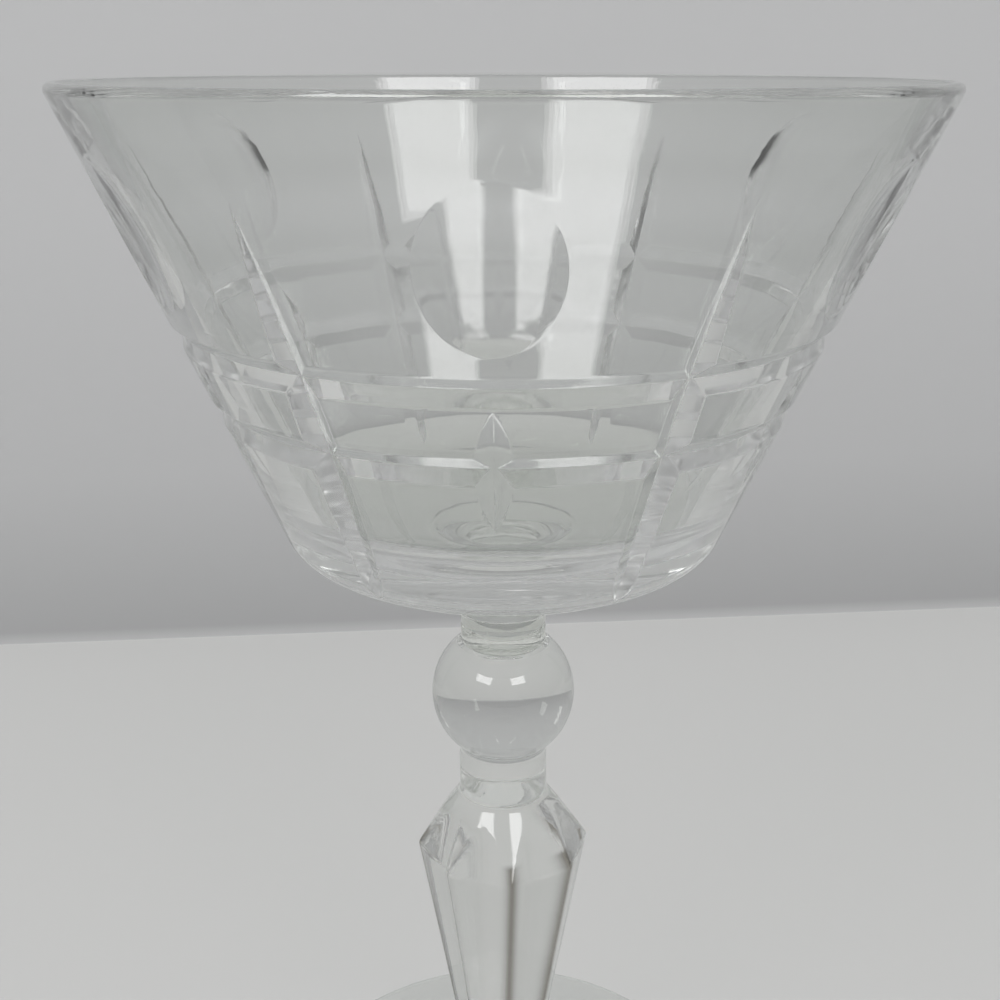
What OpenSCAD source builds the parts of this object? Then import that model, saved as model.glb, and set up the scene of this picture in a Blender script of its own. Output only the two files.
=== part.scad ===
// Stemmed coupe glass with a cut bowl, a ball knop and an eight-sided baluster stem.
// Lengths are in millimetres. Z is up, the table is z = 0 and the stem stands on the Z axis.
// A panel of the bowl faces -Y.

/* [Overall] */
// Height from the table to the top of the lip
height = 142; // [115:1:170]

/* [Bowl] */
// Diameter over the lip
rim_d = 94; // [78:1:110]
// Radius of the rounded lip, half the thickness of the wall there
lip_r = 0.75; // [0.6:0.05:1.2]
// Lean of the outside wall from upright, in degrees
wall_lean = 23.6; // [19:0.2:27]
// Extra lean of the inside wall, which thickens the glass towards the base
wall_growth = 2.4; // [1.8:0.1:3.4]
// Depth of the outside, from the lip to the lowest point of the domed underside
bowl_h = 58; // [50:0.2:63]
// Radius of the outside corner between the wall and the underside
corner_r = 6; // [3:0.25:8]
// Radius of the domed underside
dome_r = 50; // [42:1:90]
// Thickness of the base on the axis
base_t = 9; // [5:0.25:11]
// Radius of the inside corner
well_corner_r = 5; // [3:0.25:8]
// Radius of the dished inside bottom
dish_r = 70; // [50:1:140]
// Radius of the drop of glass under the bowl
drop_r = 5.2; // [4:0.1:7]
// Length of the drop below the dome
drop_h = 5.25; // [4:0.25:9]
// Radius of the cove between the dome and the drop
drop_cove_r = 5; // [2:0.25:5.5]

/* [Bowl cutting] */
// Number of panels round the bowl
panels = 6; // [4:1:8]
// Half angle of the mitre wheels' edge, in degrees
mitre_angle = 65; // [55:1:70]
// Depth below the lip where a long flute is deepest
flute_at = 34; // [28:0.2:38]
// Radius of the wheel that cuts the long flutes
flute_wheel_r = 365; // [280:1:460]
// Depth of the long flutes
flute_cut = 1; // [0.7:0.05:1.3]
// Depth below the lip of the upper ring
upper_ring_at = 25.6; // [22:0.2:27]
// Depth below the lip of the lower ring
lower_ring_at = 34; // [30:0.2:36]
// Depth of the rings
ring_cut = 0.8; // [0.5:0.05:1]
// Radius of the wheel that cuts the short mitres across the lower ring
cross_wheel_r = 27; // [20:0.5:34]
// Depth of the short mitres
cross_cut = 0.95; // [0.6:0.05:1.2]
// Depth below the lip of the round punties' centres
punty_at = 14.4; // [12:0.2:16]
// Radius of the wheel that cuts the punties
punty_wheel_r = 24; // [18:0.5:30]
// Depth of the punties
punty_cut = 1.3; // [0.7:0.05:1.5]

/* [Bowl wafer] */
// Radius of the wafer that seals the bowl to the stem
bowl_wafer_r = 5.2; // [4:0.1:5.4]
// Height of that wafer
bowl_wafer_h = 2.5; // [2:0.1:6]
// Bevel of the edges beside the seals
seal_bevel = 0.35; // [0.2:0.05:0.7]

/* [Stem] */
// Radius of the ball knop
ball_r = 8.85; // [7.5:0.05:11]
// Drop from the stem's top face to the ball's centre
ball_drop = 6.8; // [5:0.1:7.2]
// Radius of the waist under the ball
waist_r = 5.5; // [4:0.1:6.5]
// Radius of the coves above and below the waist
waist_cove_r = 2; // [1:0.1:3]
// Drop from the ball's centre to the foot of the waist
waist_drop = 13.8; // [11:0.1:17]
// Lean of the shoulder from upright, in degrees
shoulder_lean = 36; // [30:1:50]
// Lean of the short flats cut on the shoulder, steeper than the shoulder itself, in degrees
shoulder_cut_lean = 30; // [24:1:34]
// Radius of the shoulder, where the corners of the baluster start
shoulder_r = 11; // [8:0.1:14]
// Radius over the corners at the ankle, where the taper ends
ankle_r = 5; // [4:0.1:6]
// Number of flat sides of the baluster
facets = 8; // [6:1:10]
// Amount by which the corners of the baluster are softened
arris_soft = 0.07; // [0.04:0.01:0.2]
// Turn of the baluster's corners from the +X axis, in degrees
stem_turn = 7.5; // [0:0.5:45]
// Section radius of the bead under the ankle
bead_r = 1.7; // [1.4:0.1:2.4]
// Ledge between the ankle's corners and the circle that the bead runs on
bead_ledge = 0.2; // [0.1:0.05:0.5]
// Depth of the flats above and below the bead
bead_flat = 0.2; // [0.1:0.05:0.4]

/* [Foot wafer] */
// Radius of the wafer that seals the stem to the foot
foot_wafer_r = 7.4; // [6:0.1:9]
// Height of that wafer
foot_wafer_h = 2; // [1.4:0.1:4]
// Radius of its bulging edge
foot_wafer_edge_r = 1.5; // [1.2:0.05:2.5]

/* [Foot] */
// Diameter of the foot
foot_d = 64; // [56:1:84]
// Radius of the rounded edge of the foot
foot_edge_r = 1.35; // [0.9:0.05:2]
// Depth by which the round of that edge is ground flat
foot_grind = 0.25; // [0.15:0.05:0.4]
// Slope of the top of the foot, in degrees
foot_rise = 6; // [3:0.5:12]
// Radius of the cove at the centre of the foot
foot_cove_r = 4.5; // [3:0.25:8]
// Radius of the boss that the foot wafer stands on
foot_boss_r = 7; // [5.4:0.1:8.4]
// Width of the flat standing ring
ring_w = 5; // [3:0.25:9]
// Depth of the hollow inside the standing ring
hollow_h = 1.4; // [0.8:0.1:2]
// Radius of the flat in the middle of the hollow
hollow_flat_r = 12; // [6:0.5:18]

/* [Hidden] */
$fn = 96;

glass = [0.80, 0.86, 0.84];
seal = [0.62, 0.74, 0.70];
// Overrun of a cutter past the surface that it cuts
over = 3;
// Amount by which a round stands past the faces that it joins, so that they cross cleanly
swell = 0.02;
half_share = 0.5;
cutter_share = 1.5;

function unit(v) = v / norm(v);
function down_wall(a) = [-sin(a), -cos(a)];
function out_of_wall(a) = [cos(a), -sin(a)];
// The point on the line from p along u, at the distance d from c, on the far side
function along(p, u, c, d) = let (w = p - c, b = w * u, k = w * w - d * d) p + (sqrt(b * b - k) - b) * u;

// Bowl: the lip, the two walls that touch it, and the arcs that turn them into the base
well_lean = wall_lean + wall_growth;
lip_c = [rim_d / 2 - lip_r - swell, height - lip_r - swell];
lip_out = lip_c + lip_r * out_of_wall(wall_lean);
lip_in = lip_c - lip_r * out_of_wall(well_lean);
low_z = height - bowl_h;
dome_c = [0, low_z + dome_r];
corner_start = lip_c + (lip_r - corner_r) * out_of_wall(wall_lean);
corner_c = along(corner_start, down_wall(wall_lean), dome_c, dome_r - corner_r);
corner_up = corner_c + corner_r * out_of_wall(wall_lean);
corner_low = corner_c + corner_r * unit(corner_c - dome_c);
dish_c = [0, low_z + base_t + dish_r];
well_start = lip_c - (lip_r + well_corner_r) * out_of_wall(well_lean);
well_c = along(well_start, down_wall(well_lean), dish_c, dish_r - well_corner_r);
well_up = well_c + well_corner_r * out_of_wall(well_lean);
well_low = well_c + well_corner_r * unit(well_c - dish_c);
cove_reach = drop_r + drop_cove_r;
cove_c = [cove_reach, dome_c.y - sqrt((dome_r + drop_cove_r) ^ 2 - cove_reach ^ 2)];
cove_up = dome_c + dome_r * unit(cove_c - dome_c);
bowl_seal_z = low_z - drop_h;

// Stem: heights from the top face down, and the fit of the coves to the ball and the shoulder
stem_top_z = bowl_seal_z - bowl_wafer_h;
ball_c = [0, stem_top_z - ball_drop];
waist_reach = waist_r + waist_cove_r;
ball_cove_c = [waist_reach, ball_c.y - sqrt((ball_r + waist_cove_r) ^ 2 - waist_reach ^ 2)];
ball_cove_up = ball_c + ball_r * unit(ball_cove_c - ball_c);
waist_z = ball_c.y - waist_drop;
waist_cove_c = [waist_reach, waist_z + waist_cove_r * tan(shoulder_lean / 2)];
shoulder_out = [cos(shoulder_lean), sin(shoulder_lean)];
waist_cove_low = waist_cove_c - waist_cove_r * shoulder_out;
shoulder_z = waist_z - (shoulder_r - waist_r) / tan(shoulder_lean);

// Foot: the sloping top, the cove and the boss
slope_out = [sin(foot_rise), cos(foot_rise)];
edge_c = [foot_d / 2 - foot_edge_r - swell, foot_edge_r - foot_grind];
edge_up = edge_c + foot_edge_r * slope_out;
slope_low_x = foot_boss_r + foot_cove_r - foot_cove_r * slope_out.x;
slope_low = [slope_low_x, edge_up.y + (edge_up.x - slope_low_x) * tan(foot_rise)];
foot_cove_c = slope_low + foot_cove_r * slope_out;
foot_h = foot_cove_c.y;
hollow_rim_r = edge_c.x - ring_w;

// Lower stem: the wafer, the bead and the taper
stem_foot_z = foot_h + foot_wafer_h;
bead_c = [ankle_r + bead_ledge, stem_foot_z + bead_r - bead_flat];
ankle_z = bead_c.y + bead_r - bead_flat;
taper_h = shoulder_z - ankle_z;
facet_share = cos(180 / facets);
facet_lean = atan((shoulder_r - ankle_r) * facet_share / taper_h);
wafer_edge_c = [foot_wafer_r - foot_wafer_edge_r, foot_h + foot_wafer_h / 2];

// A disc about c; outlines run anticlockwise in this file, so that their faces join
module disc(c, r) {
  translate(c)
    circle(r);
}

// Everything between two heights, from the axis out to a radius
module band(r, low, high) {
  translate([0, low])
    square([r, high - low]);
}

// A round of radius r about c, with the end bevelled at the height z, going on upwards or down
module sealed_end(r, z, to) {
  way = to > z ? 1 : -1;
  shelf = z + way * seal_bevel;
  points = [[0, z], [r - seal_bevel, z], [r, shelf], [r, to], [0, to]];
  polygon(way > 0 ? points : [for (i = [1 : len(points)]) points[len(points) - i]]);
}

// The blank of the bowl in section: wall, corner, dome, cove and drop, less the well, plus the lip
module bowl_section() {
  difference() {
    union() {
      polygon([[0, corner_low.y], corner_low, corner_c, corner_up, lip_out, lip_c, [0, lip_c.y]]);
      disc(corner_c, corner_r + swell);
      intersection() {
        disc(dome_c, dome_r);
        band(corner_low.x, low_z - over, corner_c.y);
      }
      polygon([[0, cove_c.y], [drop_r, cove_c.y], cove_c, cove_up, [0, dome_c.y - dome_r + over]]);
      sealed_end(drop_r, bowl_seal_z, low_z);
    }
    disc(cove_c, drop_cove_r + swell);
    well_section();
  }
  disc(lip_c, lip_r + swell);
}

// The hollow of the bowl in section
module well_section() {
  polygon([
    [0, well_low.y],
    well_low,
    well_c,
    well_up,
    lip_in,
    lip_c,
    [lip_c.x, lip_c.y + over],
    [0, lip_c.y + over]
  ]);
  disc(well_c, well_corner_r + swell);
  intersection() {
    disc(dish_c, dish_r);
    band(well_low.x, low_z, well_c.y);
  }
}

// The outside of the wall at a depth below the lip, as radius and height
function wall_at(depth) = let (z = height - depth) [lip_out.x - (lip_out.y - z) * tan(wall_lean), z];

// The edge of a mitre wheel, held against the wall at a depth below the lip, in the plane of the axis
module mitre(depth, wheel_r, cut) {
  hub = wall_at(depth) + (wheel_r - cut) * out_of_wall(wall_lean);
  inner = cut + over + over;
  flank = inner * tan(mitre_angle);
  translate([hub.x, 0, hub.y])
    rotate([90, 0, 0])
      rotate_extrude()
        polygon([[wheel_r - inner, -flank], [wheel_r, 0], [wheel_r - inner, flank]]);
}

// A ring of the same mitre section round the wall
module ring(depth, cut) {
  p = wall_at(depth);
  flank = (cut + over) * tan(mitre_angle);
  mouth = p + over * out_of_wall(wall_lean);
  rotate_extrude()
    polygon([
      p - cut * out_of_wall(wall_lean),
      mouth + flank * down_wall(wall_lean),
      mouth - flank * down_wall(wall_lean)
    ]);
}

// A ball-edged wheel that leaves a round hollow
module punty() {
  hub = wall_at(punty_at) + (punty_wheel_r - punty_cut) * out_of_wall(wall_lean);
  translate([hub.x, 0, hub.y])
    sphere(punty_wheel_r);
}

// The bowl is cut in the order of the work: rings, long flutes, short mitres, then punties
module ringed_blank() {
  difference() {
    rotate_extrude()
      bowl_section();
    ring(upper_ring_at, ring_cut);
    ring(lower_ring_at, ring_cut);
  }
}

module fluted_blank() {
  difference() {
    ringed_blank();
    for (i = [0 : panels - 1])
      rotate([0, 0, i * 360 / panels])
        mitre(flute_at, flute_wheel_r, flute_cut);
  }
}

module crossed_blank() {
  difference() {
    fluted_blank();
    for (i = [0 : panels - 1])
      rotate([0, 0, (i + half_share) * 360 / panels])
        mitre(lower_ring_at, cross_wheel_r, cross_cut);
  }
}

module bowl() {
  color(glass)
    difference() {
      crossed_blank();
      for (i = [0 : panels - 1])
        rotate([0, 0, (i + half_share) * 360 / panels])
          punty();
    }
}

module bowl_wafer() {
  middle = (stem_top_z + bowl_seal_z) / 2;
  color(seal)
    rotate_extrude() {
      sealed_end(bowl_wafer_r, stem_top_z, middle);
      sealed_end(bowl_wafer_r, bowl_seal_z, middle);
    }
}

// The round blank of the stem in section: ball, waist, shoulder, taper and bead
module stem_section() {
  difference() {
    union() {
      intersection() {
        disc(ball_c, ball_r);
        band(ball_r + over, ball_c.y - ball_r - over, stem_top_z);
      }
      polygon([[0, ball_cove_c.y], [waist_r, ball_cove_c.y], ball_cove_c, ball_cove_up, ball_c]);
      band(waist_r, waist_cove_low.y, ball_c.y);
      polygon([
        [0, ankle_z - bead_r],
        [ankle_r, ankle_z - bead_r],
        [ankle_r, ankle_z],
        [shoulder_r, shoulder_z],
        waist_cove_low,
        waist_cove_c,
        [waist_r, waist_cove_c.y],
        [0, waist_cove_c.y]
      ]);
    }
    disc(ball_cove_c, waist_cove_r + swell);
    disc(waist_cove_c, waist_cove_r + swell);
  }
  intersection() {
    union() {
      disc(bead_c, bead_r);
      band(bead_c.x, stem_foot_z - over, ankle_z + over);
    }
    band(bead_c.x + bead_r + over, stem_foot_z, ankle_z);
  }
}

// A slab whose face lies along one flat side of the baluster
module facet_slab() {
  across = cutter_share * shoulder_r;
  tall = cutter_share * taper_h;
  intersection() {
    translate([(ankle_r + arris_soft) * facet_share, -across, ankle_z])
      rotate([0, facet_lean, 0])
        translate([0, 0, -over])
          cube([across, across + across, tall]);
    translate([0, -across, ankle_z])
      cube([across + across, across + across, tall]);
  }
}

// A slab whose face lies along one short flat of the shoulder and runs out before the waist
module shoulder_slab() {
  across = cutter_share * shoulder_r;
  translate([(shoulder_r + arris_soft) * facet_share, -across, shoulder_z])
    rotate([0, -shoulder_cut_lean, 0])
      translate([0, 0, -over])
        cube([across, across + across, over + (waist_z - shoulder_z) / cos(shoulder_cut_lean)]);
}

module tapered_blank() {
  difference() {
    rotate_extrude()
      stem_section();
    for (i = [0 : facets - 1])
      rotate([0, 0, stem_turn + (i + half_share) * 360 / facets])
        facet_slab();
  }
}

module stem() {
  color(glass)
    difference() {
      tapered_blank();
      for (i = [0 : facets - 1])
        rotate([0, 0, stem_turn + (i + half_share) * 360 / facets])
          shoulder_slab();
    }
}

module foot_wafer() {
  color(seal)
    rotate_extrude()
      intersection() {
        union() {
          disc(wafer_edge_c, foot_wafer_edge_r);
          band(wafer_edge_c.x, foot_h - over, stem_foot_z + over);
        }
        band(foot_wafer_r + over, foot_h, stem_foot_z);
      }
}

// The foot in section: edge, slope, cove and boss, ground flat below and less the hollow
module foot_section() {
  difference() {
    intersection() {
      union() {
        polygon([[0, -over], [edge_c.x, -over], edge_c, edge_up, slope_low, [0, slope_low.y]]);
        disc(edge_c, foot_edge_r + swell);
        polygon([[0, 0], [slope_low.x, 0], slope_low, foot_cove_c, [0, foot_h]]);
      }
      band(foot_d, 0, foot_h);
    }
    disc(foot_cove_c, foot_cove_r + swell);
    polygon([
      [0, -over],
      [hollow_rim_r, -over],
      [hollow_rim_r, 0],
      [hollow_flat_r, hollow_h],
      [0, hollow_h]
    ]);
  }
}

module foot() {
  color(glass)
    rotate_extrude()
      foot_section();
}

bowl();
bowl_wafer();
stem();
foot_wafer();
foot();
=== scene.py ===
import math
import bpy
import numpy as np
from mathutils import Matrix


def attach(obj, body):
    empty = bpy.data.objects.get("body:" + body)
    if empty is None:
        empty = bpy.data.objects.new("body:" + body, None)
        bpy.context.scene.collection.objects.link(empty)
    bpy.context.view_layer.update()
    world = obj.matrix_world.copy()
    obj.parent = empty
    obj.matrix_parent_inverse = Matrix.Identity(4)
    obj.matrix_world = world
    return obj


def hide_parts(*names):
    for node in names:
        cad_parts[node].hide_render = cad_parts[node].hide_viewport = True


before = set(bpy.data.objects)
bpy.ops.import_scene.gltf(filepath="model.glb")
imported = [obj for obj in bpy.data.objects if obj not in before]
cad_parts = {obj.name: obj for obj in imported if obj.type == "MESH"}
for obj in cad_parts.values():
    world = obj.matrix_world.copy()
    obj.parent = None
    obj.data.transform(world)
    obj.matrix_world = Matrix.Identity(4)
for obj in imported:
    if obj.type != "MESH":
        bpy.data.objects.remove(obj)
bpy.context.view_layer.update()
print("frame loaded")

mm = 0.001
scene = bpy.context.scene
scene.view_settings.view_transform = "Standard"
scene.cycles.max_bounces = 32  # light turns many times inside cut glass
scene.cycles.glossy_bounces = 32
scene.cycles.transmission_bounces = 32
scene.cycles.transparent_max_bounces = 16


# Profiles: rows of radius, height and outward normal, from the bottom axis up the outside

def lineRows(start, end, count):
    # points evenly along a straight line; the normal is the direction turned a quarter to the right
    t = np.linspace(0.0, 1.0, count)[:, None]
    start, end = np.array(start, float), np.array(end, float)
    way = (end - start) / np.linalg.norm(end - start)
    normal = np.array([way[1], -way[0]])
    return np.hstack([start + t * (end - start), np.repeat(normal[None, :], count, 0)])


def arcRows(centre, radius, fromAngle, toAngle, count, hollow=False):
    # points evenly round an arc in degrees; the normal points from the centre, or to it on a hollow
    a = np.radians(np.linspace(fromAngle, toAngle, count))
    ray = np.stack([np.cos(a), np.sin(a)], 1)
    return np.hstack([np.array(centre, float) + radius * ray, -ray if hollow else ray])


def joinRows(pieces, gap=0.03):
    # rows of all pieces in turn; where two meet at a crease, both stop just short of it
    rows = [p.copy() for p in pieces]
    for a, b in zip(rows[:-1], rows[1:]):
        if a[-1, 2:] @ b[0, 2:] < 0.995:
            a[-1, :2] -= gap * np.array([-a[-1, 3], a[-1, 2]])
            b[0, :2] += gap * np.array([-b[0, 3], b[0, 2]])
    kept = [rows[0]]
    for a, b in zip(rows[:-1], rows[1:]):
        kept.append(b[1:] if np.linalg.norm(a[-1, :2] - b[0, :2]) < 1e-4 else b)
    return np.vstack(kept)


def angleOf(v):
    return math.degrees(math.atan2(v[1], v[0]))


def gridFaces(rowCount, columnCount):
    # quads between neighbouring rows and columns of a closed ring, as corner numbers
    i = np.arange(rowCount - 1)[:, None] * columnCount
    j = np.arange(columnCount)[None, :]
    k = (j + 1) % columnCount
    return np.stack([i + j, i + k, i + columnCount + k, i + columnCount + j], -1).reshape(-1, 4)


def ringMesh(name, points, normals, lowPole, highPole, capRows, materials, shares):
    # rows of points round the axis with a single point closing each end; capRows are the sealed faces,
    # shares are values from 0 to 1 at each point that the materials read
    rowCount, columnCount = points.shape[:2]
    flat = np.vstack([points.reshape(-1, 3), [lowPole, highPole]])
    flatNormals = np.vstack([normals.reshape(-1, 3), [[0, 0, -1.0], [0, 0, 1.0]]])
    quads = gridFaces(rowCount, columnCount)
    j = np.arange(columnCount)
    k = (j + 1) % columnCount
    low, high = rowCount * columnCount, rowCount * columnCount + 1
    lowFan = np.stack([np.full_like(j, low), k, j], 1)
    topRow = (rowCount - 1) * columnCount
    highFan = np.stack([np.full_like(j, high), topRow + j, topRow + k], 1)
    mesh = bpy.data.meshes.new(name)
    mesh.from_pydata((flat * mm).tolist(), [], quads.tolist() + lowFan.tolist() + highFan.tolist())
    for material in materials:
        mesh.materials.append(material)
    slots = np.zeros(len(mesh.polygons), dtype=np.int32)
    sealed = np.zeros(rowCount - 1, dtype=bool)
    for first, last in capRows:
        sealed[max(first, 0):last] = True
    slots[:len(quads)] = np.repeat(sealed, columnCount)
    slots[len(quads):len(quads) + columnCount] = any(first < 0 for first, last in capRows)
    slots[len(quads) + columnCount:] = any(last >= rowCount - 1 for first, last in capRows)
    mesh.polygons.foreach_set("material_index", slots)
    mesh.polygons.foreach_set("use_smooth", np.ones(len(mesh.polygons), dtype=bool))
    mesh.update()
    length = np.linalg.norm(flatNormals, axis=1, keepdims=True)
    mesh.normals_split_custom_set_from_vertices((flatNormals / length).tolist())
    for label, values in shares.items():
        values = np.concatenate([values.ravel(), [values[0].mean(), values[-1].mean()]])
        mesh.attributes.new(label, "FLOAT", "POINT").data.foreach_set("value", values.astype(np.float32))
    piece = bpy.data.objects.new(name, mesh)
    scene.collection.objects.link(piece)
    return piece


def roundPiece(name, rows, columnCount, capRows, materials, depth):
    # a profile turned about the axis: x and y are the radius times the cosine and sine of the turn
    turn = np.linspace(0.0, 2 * math.pi, columnCount, endpoint=False)
    c, s = np.cos(turn)[None, :], np.sin(turn)[None, :]
    r, z, nr, nz = (rows[:, i][:, None] for i in range(4))
    points = np.stack([r * c, r * s, np.repeat(z, columnCount, 1)], -1)
    normals = np.stack([nr * c, nr * s, np.repeat(nz, columnCount, 1)], -1)
    shares = dict(glassDepth=np.repeat(np.clip(depth, 0.0, 1.0)[:, None], columnCount, 1))
    return ringMesh(name, points, normals, (0, 0, rows[0, 1]), (0, 0, rows[-1, 1]), capRows, materials, shares)


def softMax(a, b, k):
    # the larger of two values, with the corner where they meet rounded over the width k
    h = np.clip(0.5 + 0.5 * (a - b) / k, 0.0, 1.0)
    return b + (a - b) * h + k * h * (1.0 - h)


def softMin(a, b, k):
    return -softMax(-a, -b, k)


# Glass: clear where it is thin, grey-green where it is deep, with the marks of making and of hands, painted shade along
# the stem's arrises, and darker towards grazing angles

glassFinish = dict(
    # edge and edgeBlend darken the glass towards grazing angles: partly the longer path through green glass, partly
    # painted shade for its dark outlines
    index=1.52, clear=(0.985, 0.99, 0.985), edge=(0.10, 0.16, 0.12), edgeBlend=0.08, shadow=(0.972, 0.977, 0.974),
    blown=dict(deep=(0.82, 0.836, 0.81), cloud=0.12, polish=0.012, smudge=0.09,
               broad=0.8, rings=0.5, fine=0.008, bump=0.00006),
    pressed=dict(deep=(0.874, 0.886, 0.864), cloud=0.2, polish=0.02, smudge=0.07,
                 broad=1.0, rings=0.15, fine=0.12, bump=0.00006),
    seal=dict(deep=(0.705, 0.732, 0.68), cloud=0.25, polish=0.03, smudge=0.05,
              broad=1.2, rings=0.6, fine=0.1, bump=0.00008),
    # arris is the colour of the painted shade lines along the stem's arrises
    cutRough=0.07, cutGrain=0.04, arris=(0.14, 0.125, 0.1),
)


def addNode(tree, kind, settings=None, sockets=None):
    node = tree.nodes.new(kind)
    for key, value in (settings or {}).items():
        setattr(node, key, value)
    for key, value in (sockets or {}).items():
        node.inputs[key].default_value = value
    return node


def newGroup(name, inputs, outputs):
    tree = bpy.data.node_groups.new(name, "ShaderNodeTree")
    for label, kind, value in inputs:
        tree.interface.new_socket(name=label, in_out="INPUT", socket_type=kind).default_value = value
    for label, kind in outputs:
        tree.interface.new_socket(name=label, in_out="OUTPUT", socket_type=kind)
    return tree, tree.nodes.new("NodeGroupInput"), tree.nodes.new("NodeGroupOutput")


def mathNode(tree, operation, *values):
    # one math node: the given operation on one to three values, each a number or another node's output
    node = addNode(tree, "ShaderNodeMath", dict(operation=operation))
    for i, value in enumerate(values):
        if isinstance(value, bpy.types.NodeSocket):
            tree.links.new(value, node.inputs[i])
        else:
            node.inputs[i].default_value = value
    return node.outputs[0]


def noiseAt(tree, vector, scale, detail, rough):
    noise = addNode(tree, "ShaderNodeTexNoise", None, dict(Scale=scale, Detail=detail, Roughness=rough))
    tree.links.new(vector, noise.inputs["Vector"])
    return noise.outputs[0]


def makeDepthTint():
    # the tint follows the depth of glass behind the surface, a little unevenly, as in a hand-mixed melt
    white = (1, 1, 1, 1)
    tree, given, put = newGroup("depthTint", [
        ("Depth", "NodeSocketFloat", 0.5), ("Cloud", "NodeSocketFloat", 0.1),
        ("Clear", "NodeSocketColor", white), ("Deep", "NodeSocketColor", white)], [("Colour", "NodeSocketColor")])
    place = addNode(tree, "ShaderNodeTexCoord").outputs["Object"]
    uneven = mathNode(tree, "SUBTRACT", noiseAt(tree, place, 60.0, 2.0, 0.5), 0.5)
    share = mathNode(tree, "MULTIPLY_ADD", uneven, given.outputs["Cloud"], given.outputs["Depth"])
    mix = addNode(tree, "ShaderNodeMix", dict(data_type="RGBA"))
    tree.links.new(share, mix.inputs[0])
    tree.links.new(given.outputs["Clear"], mix.inputs[6])
    tree.links.new(given.outputs["Deep"], mix.inputs[7])
    tree.links.new(mix.outputs[2], put.inputs["Colour"])
    return tree


def makeHandMarks():
    # polished glass with finger smudges, broken up by the fine streaks of a drying cloth
    tree, given, put = newGroup("handMarks", [("Polish", "NodeSocketFloat", 0.01), ("Smudge", "NodeSocketFloat", 0.1)],
                                [("Roughness", "NodeSocketFloat")])
    place = addNode(tree, "ShaderNodeTexCoord").outputs["Object"]
    patch = addNode(tree, "ShaderNodeMapRange", dict(interpolation_type="SMOOTHSTEP"),
                    {"From Min": 0.54, "From Max": 0.74})
    tree.links.new(noiseAt(tree, place, 48.0, 4.0, 0.6), patch.inputs["Value"])
    turned = addNode(tree, "ShaderNodeMapping", None, dict(Rotation=(0.3, 0.5, 0.2), Scale=(900.0, 900.0, 90.0)))
    tree.links.new(place, turned.inputs["Vector"])
    streak = mathNode(tree, "MULTIPLY_ADD", noiseAt(tree, turned.outputs[0], 1.0, 3.0, 0.6), 1.2, 0.2)
    mark = mathNode(tree, "MULTIPLY", patch.outputs[0], streak)
    rough = mathNode(tree, "MULTIPLY_ADD", mark, given.outputs["Smudge"], given.outputs["Polish"])
    tree.links.new(rough, put.inputs["Roughness"])
    return tree


def makeMeltRipple():
    # three sizes of unevenness: broad waves of the melt, rings left by turning, and fine grain of the wheel
    tree, given, put = newGroup("meltRipple", [("Broad", "NodeSocketFloat", 1.0), ("Rings", "NodeSocketFloat", 0.3),
                                               ("Fine", "NodeSocketFloat", 0.1)], [("Height", "NodeSocketFloat")])
    place = addNode(tree, "ShaderNodeTexCoord").outputs["Object"]
    flat = addNode(tree, "ShaderNodeMapping", None, dict(Scale=(14.0, 14.0, 240.0)))
    tree.links.new(place, flat.inputs["Vector"])
    total = mathNode(tree, "MULTIPLY", noiseAt(tree, place, 75.0, 2.0, 0.4), given.outputs["Broad"])
    total = mathNode(tree, "MULTIPLY_ADD", noiseAt(tree, flat.outputs[0], 1.0, 2.0, 0.5), given.outputs["Rings"], total)
    total = mathNode(tree, "MULTIPLY_ADD", noiseAt(tree, place, 1100.0, 2.0, 0.5), given.outputs["Fine"], total)
    tree.links.new(total, put.inputs["Height"])
    return tree


depthTint, handMarks, meltRipple = makeDepthTint(), makeHandMarks(), makeMeltRipple()


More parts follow.
